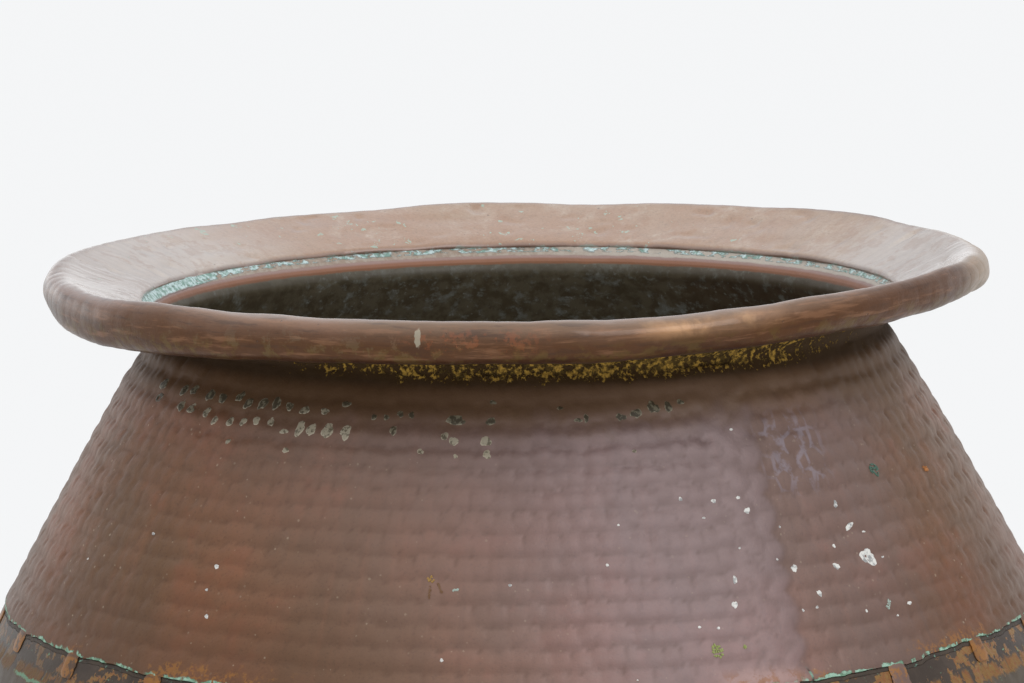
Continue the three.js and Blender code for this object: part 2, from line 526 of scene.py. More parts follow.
class Finish:
    """The node tree of a material or of the world, with a colour that is painted up in coats."""

    def __init__(self, owner):
        owner.use_nodes = True
        self.owner = owner
        self.tree = owner.node_tree
        self.tree.nodes.clear()
        self.colour = None

    def node(self, kind, settings=None, sockets=(), output=0):
        """Adds a node, sets it, then fills its sockets by name, or in order those that are in use."""
        node = self.tree.nodes.new(kind)
        for key, value in (settings or {}).items():
            setattr(node, key, value)
        in_use = [socket for socket in node.inputs if socket.enabled]
        pairs = sockets.items() if isinstance(sockets, dict) else enumerate(sockets)
        for key, value in pairs:
            socket = in_use[key] if isinstance(key, int) else next(s for s in in_use if s.name == key)
            if isinstance(value, Wire):
                self.tree.links.new(value.socket, socket)
            else:
                socket.default_value = value
        outputs = [socket for socket in node.outputs if socket.enabled]
        return Wire(self, outputs[output]) if outputs else node

    def ramp(self, value, stops):
        made = self.node("ShaderNodeValToRGB", None, (value,))
        elements = made.socket.node.color_ramp.elements
        while len(elements) < len(stops):
            elements.new(1)
        for element, (place, colour) in zip(elements, stops):
            element.position = place
            element.color = colour
        return made

    def fact(self, name):
        return self.node("ShaderNodeAttribute", {"attribute_name": name}, output=2)

    def wrap(self, across, up):
        """Coordinates that run round the vessel and up its slope, in cells of any shape."""
        vector = self.node("ShaderNodeAttribute", {"attribute_name": "wrap"}, output=1)
        scaled = (vector, (across, across, up))
        return self.node("ShaderNodeVectorMath", {"operation": "MULTIPLY"}, scaled)

    def side(self):
        """Sine of the azimuth: -1 at the vessel's left, 0 in its middle and 1 at its right."""
        return self.node("ShaderNodeSeparateXYZ", None, (self.wrap(1, 1),))

    def front(self):
        """Cosine of the azimuth: 1 in front, -1 behind."""
        return self.node("ShaderNodeSeparateXYZ", None, (self.wrap(1, 1),), output=1)

    def place(self):
        return self.node("ShaderNodeTexCoord", output=3)

    def noise(self, vector, scale, detail, roughness, distortion=0.0):
        sockets = {
            "Vector": vector, "Scale": scale, "Detail": detail, "Roughness": roughness,
            "Distortion": distortion,
        }
        return self.node("ShaderNodeTexNoise", None, sockets)

    def cells(self, vector, scale, feature="F1", randomness=1.0):
        sockets = {"Vector": vector, "Scale": scale, "Randomness": randomness}
        return self.node("ShaderNodeTexVoronoi", {"feature": feature}, sockets)

    def paint(self, factor, colour):
        """Lays one more coat over the colour so far."""
        self.colour = factor.blend(self.colour, colour)

    def bump(self, height, distance, below=None):
        """A normal from a height and a distance in metres, on top of another bump."""
        sockets = {"Distance": distance, "Height": height}
        if below:
            sockets["Normal"] = below
        return self.node("ShaderNodeBump", None, sockets)

    def shade(self, **sockets):
        named = {"Base Color": self.colour}
        for key, value in sockets.items():
            named[key.replace("_", " ").title().replace("Ior", "IOR")] = value
        shader = self.node("ShaderNodeBsdfPrincipled", None, named)
        self.node("ShaderNodeOutputMaterial", None, {"Surface": shader})
        return self.owner


def tone(red, green, blue):
    """A colour as it is seen on a screen, 0 to 255, made linear."""
    linear = [((c / 255 + 0.055) / 1.055) ** 2.4 if c > 10 else c / 255 / 12.92 for c in (red, green, blue)]
    return (*linear, 1.0)


# Finishes. Positions are millimetres of run or inside, and the other thresholds are levels of noise

rust_orange = tone(158, 92, 38)
ochre = tone(150, 112, 52)
verdigris = tone(126, 168, 148)
pale_verdigris = tone(176, 200, 184)
moss_gold = tone(186, 148, 66)
lime_white = tone(226, 224, 216)
growth_tones = [
    (0.0, tone(142, 150, 84)), (0.25, tone(160, 126, 66)), (0.35, tone(116, 84, 56)),
    (0.5, tone(76, 108, 92)), (0.75, tone(176, 112, 52)), (1.0, tone(166, 180, 168)),
]


def aged_copper(name, brown, red, grey, streak_up=1.6):
    """The mottled oxide on every sheet: patches of three browns, streaks down the slope and fine speckle.

    With the finish come its noises, from the broadest to the finest, and its streaks.
    """
    finish = Finish(bpy.data.materials.new(name))
    place = finish.place()
    broad = finish.noise(place, 7.5, 4.0, 0.6)
    patches = finish.noise(place, 28, 5.0, 0.62, 0.6)
    jag = finish.noise(place, 95, 4.0, 0.65)
    fine = finish.noise(place, 260, 4.0, 0.65)
    speckle = finish.noise(place, 560, 3.0, 0.7)
    streaks = finish.noise(finish.wrap(34, streak_up), 1.0, 4.0, 0.6)
    dark = tuple(0.45 * c for c in brown[:3]) + (1.0,)
    finish.colour = broad.step(0.4, 0.62).blend(brown, red)
    finish.paint(patches.step(0.5, 0.72, 0, 0.75), grey)
    finish.paint(streaks.step(0.52, 0.74, 0, 0.5), red)
    finish.paint(streaks.step(0.46, 0.28, 0, 0.2), dark)
    finish.paint(speckle.step(0.3, 0.48, 0.4, 0), dark)
    finish.paint(speckle.step(0.58, 0.76, 0, 0.28), grey)
    return finish, broad, patches, jag, fine, speckle, streaks


def shoulder_finish():
    finish, broad, patches, jag, fine, speckle, streaks = aged_copper(
        "weathered_shoulder_copper", tone(109, 79, 53), tone(126, 85, 57), tone(116, 88, 66)
    )
    place = finish.place()
    grains = finish.noise(place, 420, 3.0, 0.6)
    blotch = patches - 0.5
    rough = jag - 0.5
    grit = fine - 0.5
    speckled = fine.step(0.4, 0.6)
    rust = fine.blend(rust_orange, ochre)
    run = finish.fact("run")
    dirt = finish.fact("dirt")
    inside = finish.fact("inside")
    seam = finish.fact("seam_side")
    side = finish.side()

    reddened = (broad + 0.7 * blotch + 0.3 * rough).step(0.54, 0.68)
    finish.paint(reddened * 0.4, tone(138, 82, 52))

    # Paler mauve sheet left of the upright seam: partly the patina's own colour, partly a painted
    # reflection
    across_seam = (seam + 8 * blotch).step(4, -4, 0.6, 1)
    # The mauve is partly patina and partly painted reflection
    mauve_and_sheen = (seam + 0.6 * (run - 90)).step(-420, -100) * across_seam * seam.step(150, 60)
    finish.paint(mauve_and_sheen * 0.6, seam.step(-260, -80).blend(tone(138, 114, 108), tone(135, 117, 120)))
    # Painted shade in the hammer creases and low on each face, with a random tone per face
    finish.paint(dirt * 0.36, tone(78, 54, 40))
    low_right = side.step(0.5, 0.9) * run.step(90, 30)
    low_left = side.step(-0.1, -0.5) * run.step(80, 10)
    finish.paint((low_right + low_left) * 0.4, tone(88, 60, 42))
    dust = (finish.cells(place, 150) + 0.3 * grit).step(0.12, 0.08) * (1 - 0.7 * mauve_and_sheen)
    finish.paint(dust * patches.step(0.42, 0.6, 0, 0.5), tone(176, 160, 136))
    # Below the rim: a dull brown zone, partly dull patina and partly the rim's painted shadow
    rim_shadow_and_dull = (run + 26 * blotch + 10 * rough).step(154, 182)
    by_seam = seam.step(-240, -60) * seam.step(90, 20, 0, 0.7)
    dull_brown = by_seam.blend(patches.blend(tone(92, 65, 36), tone(106, 78, 50)), tone(122, 94, 68))
    finish.paint(rim_shadow_and_dull * 0.85, dull_brown)
    # The neck under the rim is painted darker still, as shade under its overhang
    neck = run.step(189, 198) * inside.step(0.2, 0.1)
    finish.paint(neck * 0.8, tone(60, 44, 26))

    # Pale lines along the creases near the top of the upright seam: painted highlights on the edges of the
    # dents
    outline = finish.cells(finish.wrap(28, 21), 1.0, "DISTANCE_TO_EDGE", 0.7).step(0.12, 0.04)
    outline = outline * (jag + 0.3 * blotch).step(0.42, 0.56)
    rings = outline * seam.between(6, 48, 10) * run.between(118, 164, 10)
    finish.paint(rings * 0.42, tone(150, 144, 156))

    # Moss and golden dust where the rim keeps the copper damp
    damp = finish.fact("moss")
    moss = (damp + 1.2 * rough + 1.2 * grit + 1.2 * (grains - 0.5)).step(0.62, 0.84) * damp.step(0.02, 0.1)
    # A dark brown ground under the moss: painted shade under the rim
    finish.paint((damp + 0.8 * rough).step(0.2, 0.7, 0, 0.8), tone(70, 50, 22))
    gold = grains.step(0.4, 0.6).blend(tone(112, 88, 40), moss_gold)
    finish.paint(moss, fine.step(0.46, 0.56).blend(tone(84, 66, 30), gold))

    # Rust-orange bloom and the green line along the seam's edge
    ripe = side.between(-0.68, -0.43, 0.05) + side.between(0.68, 0.84, 0.05)
    bloom = (9 + 3 * ripe - run + 40 * (jag - 0.54)).step(0, 8) * (patches + 0.16 * ripe).step(0.54, 0.62)
    bloom = bloom * (grains + 0.5 * grit).step(0.42, 0.56)
    finish.paint(bloom * 0.65, rust)
    on_sheet = finish.fact("finger").step(0.9, 0.5)
    line = (1.7 - run + 9 * rough).step(0, 0.8) * on_sheet * (streaks + 0.6 * blotch).step(0.44, 0.5)
    finish.paint(line, speckled.blend(tone(104, 138, 112), tone(156, 190, 168)))
    far_left = side.step(-0.74, -0.84) * run.step(0, -2)
    finish.paint(far_left * 0.8, tone(84, 68, 54))
    stain = (jag + 0.5 * grit + 0.1 * far_left).step(0.47, 0.54) * run.step(-1, -3)
    finish.paint(stain * 0.8, rust)

    # Dark crack at the foot of the upright seam, edged with green
    crack = seam.between(-0.8, 0.8, 0.6) * run.step(9, 5)
    finish.paint(crack, speckled.blend(tone(40, 34, 28), tone(120, 160, 140)))
    foot = seam.between(-58, -6, 10) * (run + 14 * rough).step(14, 4)
    finish.paint(foot * 0.5, jag.step(0.5, 0.6).blend(tone(176, 142, 132), tone(160, 104, 50)))

    # Inside: a chalky ledge with verdigris along the step, a mauve bend, then dark mottled tin, painted
    # darker just below the bend as shade
    finish.paint(inside.step(0.1, 0.6), tone(112, 92, 78))
    ledge = (inside + 3 * rough).between(0.9, 9, 0.8) * inside.step(0.1, 0.5)
    chalk = fine.step(0.36, 0.62).blend(tone(154, 136, 120), tone(172, 160, 146))
    finish.paint(ledge, side.step(-0.1, 0.4, 0, 0.75).blend(chalk, tone(190, 182, 170)))
    dashes = finish.noise(finish.wrap(32, 90), 1.0, 4.0, 0.65)
    whole = (side + 0.2 * blotch).step(-0.7, -1)
    green = (dashes + 0.1 * grit + 0.2 * whole).step(0.46, 0.54)
    green = green * (inside + 2 * rough - 4 * whole).step(6.2, 4.8) * inside.step(0.6, 1.4)
    finish.paint(green, speckled.blend(tone(132, 164, 152), tone(206, 226, 224)))
    rosy = inside.step(9.5, 12).blend(tone(156, 130, 122), tone(140, 96, 72))
    rosy = inside.step(12.6, 14.4).blend(rosy, tone(116, 72, 42))
    finish.paint((inside + 2 * rough).between(8.5, 20, 1), rosy)
    deep = (inside + 2 * rough).step(14.6, 16)
    tinned = jag.step(0.4, 0.6).blend(tone(98, 86, 64), tone(118, 108, 86))
    tinned = side.step(0.3, 0.65, 0, 0.6).blend(tinned, tone(84, 60, 40))
    mottles = (finish.noise(place, 130, 4.0, 0.7) + 0.5 * blotch).step(0.5, 0.68)
    tinned = (mottles * 0.8).blend(tinned, tone(142, 143, 132))
    tinned = (fine + 0.5 * blotch).step(0.62, 0.72, 0, 0.6).blend(tinned, tone(168, 170, 160))
    # Just below the bend the tin is painted darker, as shade
    tinned = (inside + 4 * rough).step(27, 19, 0, 0.75).blend(tinned, tone(66, 60, 46))
    finish.paint(deep, tinned)

    # Deposits are low domes on the sheet, each with its kind and its shade
    kind = finish.fact("deposit")
    shade = finish.fact("shade")
    mineral = kind.step(0.5, 0.9)
    crust_dark = shade.blend(tone(66, 58, 42), tone(112, 102, 82))
    crust_pale = shade.blend(tone(112, 106, 86), tone(178, 168, 146))
    crust = (0.5 * fine + 0.5 * grains + 0.06 * shade).step(0.49, 0.57).blend(crust_dark, crust_pale)
    finish.paint(mineral, crust)
    finish.paint(kind.step(1.5, 1.9), fine.step(0.36, 0.56).blend(tone(150, 150, 148), lime_white))
    finish.paint(kind.step(2.5, 2.9), finish.ramp(shade, growth_tones))

    dull = moss + line + green
    roughness = 0.42 + 0.16 * grit + 0.3 * dull + 0.12 * rim_shadow_and_dull + 0.14 * dirt + 0.3 * neck
    metallic = 0.3 * (1 - (dull + mineral).step(0, 0.5)) * (1 - deep)
    coat = (0.12 + 0.3 * mauve_and_sheen) * (1 - neck)
    normal = finish.bump(0.5 * fine + 0.6 * jag + 0.2 * speckle, 0.0005)
    normal = finish.bump(moss * fine + line * jag + green * fine, 0.0012, normal)
    return finish.shade(
        roughness=roughness, metallic=metallic, normal=normal,
        specular_ior_level=0.28, coat_weight=coat, coat_roughness=0.3,
    )


def bowl_finish():
    finish, broad, patches, jag, fine, speckle, streaks = aged_copper(
        "dark_bowl_copper", tone(84, 72, 56), tone(92, 76, 58), tone(98, 92, 82)
    )
    run = finish.fact("run")
    rough = jag - 0.5
    blotch = patches - 0.5
    # Painted shade in the hammer creases and low on each face, with a random tone per face
    finish.paint(finish.fact("dirt") * 0.4, tone(54, 44, 34))

    # Dark band under the fingers, with rusty stains and a greenish lower border
    ragged = run + 9 * rough
    finish.paint(ragged.step(-25, -21), patches.step(0.4, 0.6).blend(tone(62, 50, 40), tone(76, 63, 52)))
    stain = (jag + 0.5 * blotch).step(0.52, 0.58) * run.between(-26, -1, 4)
    tip = (run + 14 * rough).between(-25, -16, 2) * streaks.step(0.4, 0.54)
    rusty = fine.step(0.35, 0.6).blend(tone(138, 86, 40), tone(142, 106, 52))
    finish.paint((stain + tip).step(0, 1, 0, 0.85), rusty)
    finish.paint(finish.side().step(-0.78, -0.9, 0, 0.5), tone(70, 60, 48))
    border = ragged.between(-25, -22.6, 0.7) * (broad + 0.4 * rough).step(0.5, 0.56)
    drops = fine.step(0.66, 0.7) * run.between(-28, 0, 2)
    finish.paint((drops + border).step(0, 1), tone(112, 146, 118))

    # Soot below, and dull tin inside
    soot = (run + 60 * blotch).step(-300, -430)
    finish.paint(soot * 0.75, tone(34, 30, 27))
    tinned = patches.step(0.44, 0.66).blend(tone(60, 52, 38), tone(110, 114, 112))
    finish.paint(finish.fact("inside").step(0.4, 0.6), tinned)
    roughness = 0.44 + 0.16 * (fine - 0.5) + 0.2 * soot + 0.2 * tip
    normal = finish.bump(0.5 * fine + 0.6 * jag + 0.2 * speckle, 0.00035)
    normal = finish.bump((stain + tip) * fine, 0.0008, normal)
    return finish.shade(
        roughness=roughness, metallic=0.3 * (1 - stain * 0.6), normal=normal,
        specular_ior_level=0.3, coat_weight=0.15, coat_roughness=0.32,
    )


def rim_finish():
    finish, broad, patches, jag, fine, speckle, _ = aged_copper(
        "planished_rim_copper", tone(168, 142, 120), tone(162, 128, 104), tone(196, 184, 168), 30
    )
    run = finish.fact("run")
    dirt = finish.fact("dirt")
    side = finish.side()
    near = finish.front().step(0, 0.2)
    blotch = patches - 0.5
    rough = jag - 0.5
    grit = fine - 0.5
    # Painted shade in the hammer creases and low on each face, with a random tone per face
    finish.paint(dirt * 0.2, tone(128, 98, 78))
    # Both ends of the rim, seen at a grazing angle, are painted paler as a reflection
    glare_at_ends = side.step(-0.5, -0.95) + side.step(0.75, 0.97)
    finish.paint(glare_at_ends.step(0, 1, 0, 0.5), tone(208, 204, 198))
    mottled = (patches + 0.7 * rough).step(0.5, 0.6)
    finish.paint(mottled * 0.35, tone(152, 112, 84))

    # The roll is browner than the flange, with painted shade on its lower half, and streaked where it is
    # rubbed
    roll = (run + 3 * rough).step(crest_run - 5, crest_run + 5)
    # The lower half of the roll is painted darker, as shade
    below = (run + 6 * blotch).step(crest_run + 5, crest_run + 18)
    dull_and_shaded_left = side.between(-0.82, -0.68, 0.05)
    brown = broad.step(0.4, 0.6).blend(tone(124, 86, 60), tone(110, 80, 54))
    brown = below.blend(brown, tone(82, 48, 20))
    # Its right and left parts are painted darker, as shade; the left one is also duller
    brown = side.step(0.45, 0.8, 0, 0.8).blend(brown, tone(84, 50, 26))
    brown = (dull_and_shaded_left * 0.5).blend(brown, tone(84, 54, 32))
    rubbed = finish.noise(finish.wrap(7, 70), 1.0, 4.0, 0.65)
    brown = rubbed.step(0.52, 0.66, 0, 0.55).blend(brown, tone(142, 100, 70))
    brown = rubbed.step(0.48, 0.34, 0, 0.6).blend(brown, tone(62, 38, 22))
    smudge = (jag + 0.5 * grit).step(0.54, 0.62) * below * side.step(0.1, -0.15)
    brown = (smudge * 0.2).blend(brown, tone(128, 118, 96))
    # The roll's far right end is painted pale, as a highlight
    brown = side.step(0.9, 0.97, 0, 0.5).blend(brown, tone(196, 176, 150))
    finish.paint(roll * 0.94, brown)

    # Redder in front, worn bare right of the middle with a painted golden glint, with one pale drip and
    # dampness under the roll
    red = run.between(crest_run + 8, crest_run + 20, 4) * side.between(-0.22, 0.03, 0.06) * near
    finish.paint(red * (fine + 0.7 * rough).step(0.5, 0.66, 0, 0.4), tone(156, 84, 46))
    # Worn bare copper right of the middle, painted golden as a glint
    bare_and_glint = (run + 5 * rough).between(crest_run + 5, crest_run + 15, 4) * near
    bare_and_glint = bare_and_glint * side.between(0.25, 0.48, 0.07) * patches.step(0.38, 0.6, 0.2, 0.7)
    finish.paint(bare_and_glint, jag.blend(tone(186, 132, 84), tone(206, 168, 126)))
    across = (side + 0.2015) * 150
    along = (run - (crest_run + 12)) * 0.19
    drip = (across * across + along * along + 2.4 * grit).step(1.1, 0.6) * near
    finish.paint(drip * 0.75, tone(172, 164, 142))
    damp = run.between(curl_run - 6, curl_run + 12, 5) * roll
    finish.paint(damp * jag.step(0.46, 0.6, 0, 0.6), tone(104, 82, 40))
    # The turned-under part of the curl is painted dark, as shade
    hidden = run.step(curl_run + 4, curl_run + 10)
    finish.paint(hidden, patches.blend(tone(58, 42, 28), tone(72, 56, 34)))

    # Verdigris gathers along the brazed inner edge and in a few dents
    specks = (jag + 0.5 * grit + 0.6 * (broad - 0.5)).step(0.7, 0.74) * (1 - roll)
    edge = (run + 5 * rough).step(1.0, -0.5) * patches.step(0.45, 0.6)
    green = (specks + edge).step(0.2, 0.7)
    finish.paint(green * 0.7, fine.blend(verdigris, pale_verdigris))
    # The brazed inner edge is painted lighter, as light over the shade of the gap beneath it
    brazed_edge_lit = (run + 2 * rough).between(-1, 1.6, 1)
    finish.paint(brazed_edge_lit * 0.5, tone(134, 112, 104))
    pits = (finish.cells(finish.place(), 130) + 0.3 * rough).step(0.1, 0.02) * patches.step(0.48, 0.6)
    finish.paint(pits * 0.6, tone(84, 62, 46))
    roughness = 0.34 + 0.14 * grit + 0.25 * green + 0.1 * dirt
    metallic = (0.3 + 0.35 * below) * (1 - green)
    coat = 1 - 0.9 * below - 0.85 * roll * side.step(0.4, 0.7) - 0.6 * roll * dull_and_shaded_left
    normal = finish.bump(0.5 * fine + 0.5 * jag + 0.2 * speckle - 0.8 * pits, 0.0005)
    return finish.shade(
        roughness=roughness, metallic=metallic, normal=normal,
        specular_ior_level=0.35, coat_weight=coat, coat_roughness=0.13,
    )


def brass_finish():
    finish = Finish(bpy.data.materials.new("tarnished_brazing_brass"))
    place = finish.place()
    fine = finish.noise(place, 300, 4.0, 0.65)
    patches = finish.noise(place, 70, 4.0, 0.6)
    finish.colour = patches.step(0.4, 0.6).blend(tone(70, 57, 44), tone(58, 48, 39))
    finish.paint((fine + 0.6 * (patches - 0.5)).step(0.62, 0.74), verdigris)
    return finish.shade(roughness=0.42 + 0.3 * fine, metallic=0.3, normal=finish.bump(fine, 0.0006))


def iron_finish():
    finish = Finish(bpy.data.materials.new("rusty_hoop_iron"))
    place = finish.place()
    fine = finish.noise(place, 240, 5.0, 0.7)
    patches = finish.noise(place, 36, 4.0, 0.6)
    finish.colour = patches.step(0.4, 0.62).blend(tone(66, 52, 44), tone(112, 66, 38))
    finish.paint(fine.step(0.5, 0.7), tone(48, 38, 34))
    return finish.shade(roughness=0.6 + 0.3 * fine, metallic=0.35, normal=finish.bump(fine, 0.0008))


# Camera, and the place of a photograph's pixel on the shoulder

pitch = math.radians(camera_pitch)
roll = math.radians(camera_roll)
ahead = Vector((0, math.cos(pitch), -math.sin(pitch)))
level = Vector((1, 0, 0))
upright = level.cross(ahead)
camera_x = math.cos(roll) * level - math.sin(roll) * upright
camera_y = math.sin(roll) * level + math.cos(roll) * upright
camera_place = Vector((0, -camera_distance, crest_height + camera_above_rim))

lens = bpy.data.cameras.new("camera")
lens.sensor_width = 36
lens.lens = focal_pixels / photo_width * lens.sensor_width
lens.shift_x = 0.5 - axis_pixel[0] / photo_width
lens.clip_end = 200
camera = bpy.data.objects.new("camera", lens)
bpy.context.scene.collection.objects.link(camera)
camera.matrix_world = Matrix((
    (*camera_x, 0), (*camera_y, 0), (*-ahead, 0), (*camera_place * MM, 1),
)).transposed()
bpy.context.scene.camera = camera

# A line of sight is searched from before the vessel to its axis, in so many steps
widest = 420
sight_steps = 4000


def seen_at(pixel, rows):
    """Azimuth and run where a pixel's line of sight meets the surface of revolution with these rows."""
    sight = ahead + camera_x * ((pixel[0] - axis_pixel[0]) / focal_pixels)
    sight -= camera_y * ((pixel[1] - axis_pixel[1]) / focal_pixels)
    reach = np.linspace(camera_distance - widest, camera_distance, sight_steps)
    x, y, z = (camera_place[i] + sight[i] * reach for i in range(3))
    radii, heights, _, _, runs = (np.array(column) for column in zip(*rows))
    order = np.argsort(heights)
    wall = np.interp(z, heights[order], radii[order])
    first = int(np.argmax(np.hypot(x, y) < wall))
    run = float(np.interp(z[first], heights[order], runs[order]))
    return math.atan2(x[first], -y[first]), run


# Hammering of each sheet

shoulder_skin = side_rows(shoulder_route.stops[:shoulder_rows], sheet_thickness / 2)
shoulder_runs = [row[4] for row in shoulder_skin]
shoulder_radii = (shoulder_runs, [row[0] for row in shoulder_skin])
shoulder_heights = (shoulder_runs, [row[1] for row in shoulder_skin])
bowl_skin = side_rows(bowl_route.stops, bowl_thickness / 2)
bowl_radii = ([row[4] for row in bowl_skin], [max(row[0], 60) for row in bowl_skin])

shoulder_marks = Hammering(
    11, 14.1, 10.8, 34, 75, shoulder_radii, arch=0.55, step=0.02, waver=2.2, uneven=0.08
)
bowl_marks = Hammering(12, 16, 12, 50, 70, bowl_radii, arch=0.3, step=0.02, waver=3)
inner_marks = Hammering(13, 20, 15, 70, 80, shoulder_radii, waver=3)
flange_marks = Hammering(14, 19, 9, 260, 90, ([0, 55], [242, 296]), waver=9, uneven=0.16)
roll_marks = Hammering(15, 19, 16, 260, 190, ([0, 100], [298, 299]), waver=3)
ledge_marks = Hammering(16, 16, 12, 110, 90, ([0, 400], [236, 236]), waver=2)
shallow = Lumps(17, 60, 28)
rolling = Lumps(18, 34, 11)
pitting = Lumps(19, 170, 7)

# The shoulder's own seam leans a little: two runs, then the azimuths there. Big faces lie along it in two
# columns, each with its distance from the seam's edge and the run at which it starts
seam_lean = ([0, 190], [28.7, 31.0])
scallop_pitch = 21
big_face_columns = ((-21, 6), (-8, -4))
big_face_count = 10


def seam_offset(azimuth, run):
    """Distance across the scalloped edge of the upright seam: negative on its left."""
    turn = (azimuth - np.radians(np.interp(run, *seam_lean)) + math.pi) % TAU - math.pi
    scallop = 6 * np.abs(np.cos(math.pi * run / scallop_pitch + 0.8 * shallow(azimuth, run))) + 4
    return turn * np.interp(run, *shoulder_radii) - scallop


def shoulder_relief(azimuth, run):
    """Hammer faces, and the upright seam, whose left sheet overlaps the right one."""
    fall, crease = shoulder_marks(azimuth, run)
    across = seam_offset(azimuth, run)
    rng = np.random.default_rng(21)
    for column, start in big_face_columns:
        for low in start + scallop_pitch * np.arange(big_face_count):
            x = across - column - rng.uniform(-2, 2)
            up = run - low - rng.uniform(-2, 2)
            cushion = x**2 / 120 + up**2 / 220 + 0.02 * up - 0.3
            near = 0.6 * np.clip(1 - np.abs(fall - cushion) / 0.35, 0, 1) * (np.abs(x) < 9)
            crease = np.where(cushion < fall, near, np.maximum(crease, near))
            fall = np.minimum(fall, cushion)
    fall = fall - 0.5 * smooth(-60, -12, across) * (1 - smooth(-1.4, 1.4, across))
    crease = np.maximum(crease, 0.6 * np.exp(-((across - 0.8) ** 2) / 4))
    fade = smooth(-4, 12, run) * 0.8 + 0.2
    # The faces stand out more at the vessel's sides and right of the upright seam
    bolder = np.maximum(smooth(0.55, 0.9, np.abs(np.sin(azimuth))), smooth(0, 40, across))
    return (0.3 - fall) * fade * (1 + 0.35 * bolder) + 0.3 * shallow(azimuth, run), crease


def bowl_relief(azimuth, run):
    fall, crease = bowl_marks(azimuth, run)
    off_base = smooth(base_radius, base_radius + 40, run)
    return (0.3 - fall) * off_base, crease * off_base


def inner_relief(azimuth, run):
    fall, crease = inner_marks(azimuth, run)
    return 0.2 - fall, crease


def ledge_relief(azimuth, run):
    fall, crease = ledge_marks(azimuth, run)
    return 0.8 * (0.12 - fall) + 0.3 * shallow(azimuth, 3 * run), crease


def rim_relief(azimuth, run):
    flange, flange_crease = flange_marks(azimuth, run)
    roll, roll_crease = roll_marks(azimuth, run)
    on_roll = smooth(flange_length - 4, crest_run + 2, run)
    on_flange = 1 - on_roll
    stronger_aside = 0.4 + 0.8 * np.abs(np.sin(azimuth)) ** 3
    pits = np.maximum(pitting(azimuth, run) * shallow(azimuth, 2 * run + 50) - 0.16, 0)
    fall = (stronger_aside * (flange - 0.1) + 3 * pits) * on_flange + (roll - 0.15) * on_roll
    crease = stronger_aside * flange_crease * on_flange + roll_crease * on_roll
    return 0.6 * shallow(azimuth, run) + (0.5 + 0.8 * on_roll) * rolling(azimuth, run) - fall, crease


# A cramp's grid: points across it and rows down it, of which the last two round off an outer one's tip
finger_points = 11
finger_rows = 15
finger_start = -6
tip_rows = 2
ragged_tips = 5
tab_points = 17
tab_downs = (-0.5, 6, 12, finger_length)
# Moss grows between two runs, and densest in front: azimuth, then how much
moss_run = (188, 204)
moss_reach = [
    (-52, 0.0), (-34, 0.5), (-18, 0.76), (0, 0.84), (20, 0.9), (40, 0.75), (56, 0.5), (70, 0.3), (84, 0.0),
]


def moss_at(azimuth, run):
    return np.interp(degrees_round(azimuth), *zip(*moss_reach)) * smooth(*moss_run, run)


def neck_out(up):
    """How far the outer skin stands out of the seam's plane, where the cramps bend into the sheet."""
    return lip_outer + (sheet_thickness / 2 - lip_outer) * smooth(0, cramp_rise, up)


def build_shoulder():
    """Outer skin, hidden underside of neck and lap, ledge, bend and inside, then the cramped edge."""
    body = Body()
    half = sheet_thickness / 2
    azimuth = turns(sheet_points)
    plain_azimuth = azimuth[::2]
    rings = []
    for up in (0, 1.2, 2.6, 4, 5.6, 7.2):
        worn_edge = 0.55 * (1 - smooth(-1.5, 2.6, up))
        row = seam_row(-up, neck_out(up) - worn_edge)
        rings.append(body.ring(sheet_points, row, shoulder_relief, seam_side=seam_offset(azimuth, up)))
    for row in shoulder_skin:
        facts = {"seam_side": seam_offset(azimuth, row[4]), "moss": moss_at(azimuth, row[4])}
        rings.append(body.ring(sheet_points, row, shoulder_relief, **facts))
    for row in side_rows(shoulder_route.stops[shoulder_rows:], half):
        rings.append(body.ring(plain_points, row, moss=moss_at(plain_azimuth, row[4])))
    top_row = len(shoulder_route.stops) - 1 - lap_start_row
    bend_end = len(shoulder_route.stops) - shoulder_rows
    for i, row in enumerate(side_rows(shoulder_route.stops, -half, -1)[::-1]):
        inside = lap_start[3] - row[4]
        if i < top_row:
            rings.append(body.ring(plain_points, row))
        elif i <= bend_end + 4:
            rings.append(body.ring(sheet_points, row, ledge_relief, inside=inside))
        elif (i - bend_end) % 4 == 0:
            rings.append(body.ring(plain_points, row, inner_relief, inside=inside))
    rings.append(body.ring(plain_points, seam_row(-0.5, -lip_outer, -1), inside=far_inside))
    lip = seam_row(0, -lip_outer + 0.4, -1)
    rings.append(body.ring(plain_points, lip, seam_side=seam_offset(plain_azimuth, 0)))
    body.revolve(rings)

    rng = np.random.default_rng(41)
    for index in range(finger_count):
        middle = TAU * index / finger_count
        length = finger_length - rng.uniform(0, ragged_tips)
        add_finger(body, middle, length, rng.uniform(-1, 1, (2, finger_rows)))
        add_tab(body, middle + TAU / finger_count / 2)
    add_deposits(body)
    piece = body.finish("shoulder", shoulder_finish())
    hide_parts("shoulder_shell")


def finger_width(share):
    return finger_root_width + (finger_tip_width - finger_root_width) * share


